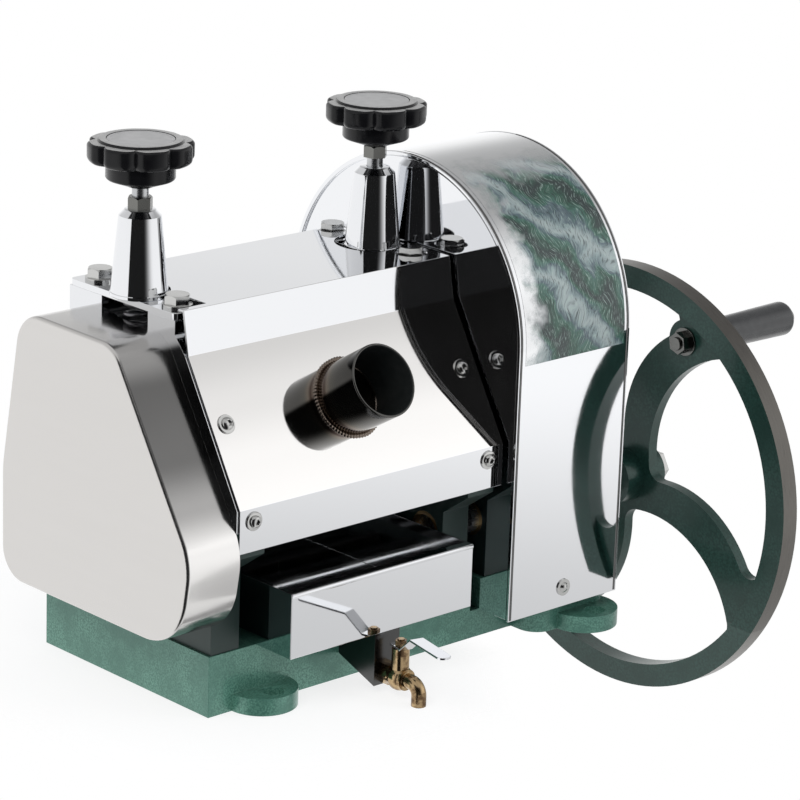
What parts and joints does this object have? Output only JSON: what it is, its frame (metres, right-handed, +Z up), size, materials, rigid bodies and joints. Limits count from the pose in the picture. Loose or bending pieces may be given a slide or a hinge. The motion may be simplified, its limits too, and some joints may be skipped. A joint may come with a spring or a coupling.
{
  "type": "manual sugarcane juicer",
  "caption": "Bench-top hand-cranked roller press: cane goes in at a front tube, juice falls into a tray with a tap, and two knobs set the roller pressure.",
  "frame": {"origin": "middle of the base casting's underside", "axes": "+X from the narrow gear cover towards the handwheel, +Y from the feed side to the rear, +Z up"},
  "size_m": [0.602, 0.3908, 0.481],
  "materials": {
    "green_hammertone": "hammered green enamel",
    "dark_green_enamel": "smooth dark green enamel, rim turned bright",
    "polished_steel": "mirror-polished stainless sheet",
    "satin_steel": "satin stainless sheet",
    "chrome_plate": "bright plated casting",
    "machined_steel": "turned steel",
    "zinc_steel": "bright plated fasteners",
    "gear_iron": "cut gears, oiled",
    "bronze": "turned bearing bronze",
    "spring_steel": "oil-tempered wire",
    "black_plastic": "glossy black",
    "grey_plastic": "satin grey",
    "dark_grip": "satin dark grey",
    "tap_brass": "polished brass"
  },
  "bodies": {
    "machine": {"base_casting": "green_hammertone", "left_frame": "chrome_plate", "right_frame": "chrome_plate", "frame_foot_bolts": "zinc_steel", "left_bearing_cap": "chrome_plate", "right_bearing_cap": "chrome_plate", "cap_bolts": "zinc_steel", "left_screw_tower": "chrome_plate", "right_screw_tower": "chrome_plate", "left_lock_nut": "zinc_steel", "front_panel": "polished_steel", "feed_tube": "polished_steel", "panel_screws": "zinc_steel", "rear_guard": "polished_steel", "outlet_chute": "polished_steel", "trash_plate": "machined_steel", "left_gear_cover": "satin_steel", "left_cover_screws": "zinc_steel", "arch_gear_cover": "polished_steel", "gear_back_plate": "polished_steel", "back_plate_studs": "zinc_steel", "arch_cover_screws": "zinc_steel", "shaft_bushes": "bronze", "drive_bearing_bracket": "green_hammertone"},
    "carriage": {"left_bearing_block": "machined_steel", "right_bearing_block": "machined_steel", "block_bushes": "bronze", "left_pressure_spring": "spring_steel", "right_pressure_spring": "spring_steel"},
    "upper_roller": {"top_roller": "machined_steel", "top_roller_gear": "gear_iron", "drive_gear": "gear_iron", "top_shaft_retainers": "spring_steel"},
    "lower_front_roller": {"front_roller": "machined_steel", "front_roller_gear": "gear_iron", "front_shaft_retainers": "spring_steel"},
    "lower_rear_roller": {"rear_roller": "machined_steel", "rear_roller_gear": "gear_iron", "rear_shaft_retainers": "spring_steel"},
    "wheel": {"drive_shaft": "machined_steel", "drive_pinion": "gear_iron", "drive_shaft_fittings": "zinc_steel", "handwheel": "dark_green_enamel", "crank_bolt": "zinc_steel"},
    "grip": {"handle_grip": "dark_grip"},
    "left_seat": {"left_spring_seat": "machined_steel"},
    "left_screw": {"left_pressure_screw": "machined_steel", "left_knob": "black_plastic", "left_knob_insert": "grey_plastic"},
    "right_seat": {"right_spring_seat": "machined_steel"},
    "right_screw": {"right_pressure_screw": "machined_steel", "right_knob": "black_plastic", "right_knob_insert": "grey_plastic", "right_lock_nut": "zinc_steel"},
    "tray": {"juice_tray": "polished_steel", "tray_outlet": "polished_steel", "tap_body": "tap_brass"},
    "tap_handle": {"tap_stem": "tap_brass", "tap_lever": "polished_steel", "tap_lever_nut": "tap_brass"}
  },
  "joints": [
    {"name": "handwheel_spin", "type": "hinge", "parent": "machine", "child": "wheel", "pos_m": [0, -0.0738, 0.08852], "axis": [1, 0, 0], "continuous": true},
    {"name": "grip_spin", "type": "hinge", "parent": "wheel", "child": "grip", "pos_m": [0, -0.12979, 0.21026], "axis": [1, 0, 0], "continuous": true},
    {"name": "upper_roller_lift", "type": "slide", "parent": "machine", "child": "carriage", "axis": [0, 0, 1], "range_m": [0, 0.0025], "stiffness_N_per_m": 60000, "springref_m": -0.004, "deforming": ["left_pressure_spring", "right_pressure_spring"]},
    {"name": "upper_roller_spin", "type": "hinge", "parent": "carriage", "child": "upper_roller", "pos_m": [0, 0.008, 0.22], "axis": [1, 0, 0], "continuous": true},
    {"name": "front_roller_spin", "type": "hinge", "parent": "machine", "child": "lower_front_roller", "pos_m": [0, -0.048, 0.16245], "axis": [1, 0, 0], "continuous": true},
    {"name": "rear_roller_spin", "type": "hinge", "parent": "machine", "child": "lower_rear_roller", "pos_m": [0, 0.04, 0.14635], "axis": [1, 0, 0], "continuous": true},
    {"name": "left_screw_feed", "type": "slide", "parent": "machine", "child": "left_seat", "axis": [0, 0, 1], "range_m": [-0.005, 0.005], "deforming": ["left_pressure_spring"]},
    {"name": "left_knob_turn", "type": "hinge", "parent": "left_seat", "child": "left_screw", "pos_m": [-0.1748, 0.008, 0], "axis": [0, 0, 1], "range_deg": [-900, 900]},
    {"name": "right_screw_feed", "type": "slide", "parent": "machine", "child": "right_seat", "axis": [0, 0, 1], "range_m": [-0.005, 0.005], "deforming": ["right_pressure_spring"]},
    {"name": "right_knob_turn", "type": "hinge", "parent": "right_seat", "child": "right_screw", "pos_m": [0.048, 0.008, 0], "axis": [0, 0, 1], "range_deg": [-900, 900]},
    {"name": "tray_slide", "type": "slide", "parent": "machine", "child": "tray", "axis": [0, -1, 0], "range_m": [0, 0.15]},
    {"name": "tap_lever_turn", "type": "hinge", "parent": "tray", "child": "tap_handle", "pos_m": [-0.055, -0.1475, 0], "axis": [0, 0, 1], "range_deg": [0, 90]}
  ],
  "couplings": [
    {"joint": "upper_roller_spin", "follows": "handwheel_spin", "ratio": -0.47143},
    {"joint": "front_roller_spin", "follows": "handwheel_spin", "ratio": 0.47143},
    {"joint": "rear_roller_spin", "follows": "handwheel_spin", "ratio": 0.47143},
    {"joint": "left_knob_turn", "follows": "left_screw_feed", "rad_per_m": 3141.6},
    {"joint": "right_knob_turn", "follows": "right_screw_feed", "rad_per_m": 3141.6}
  ]
}
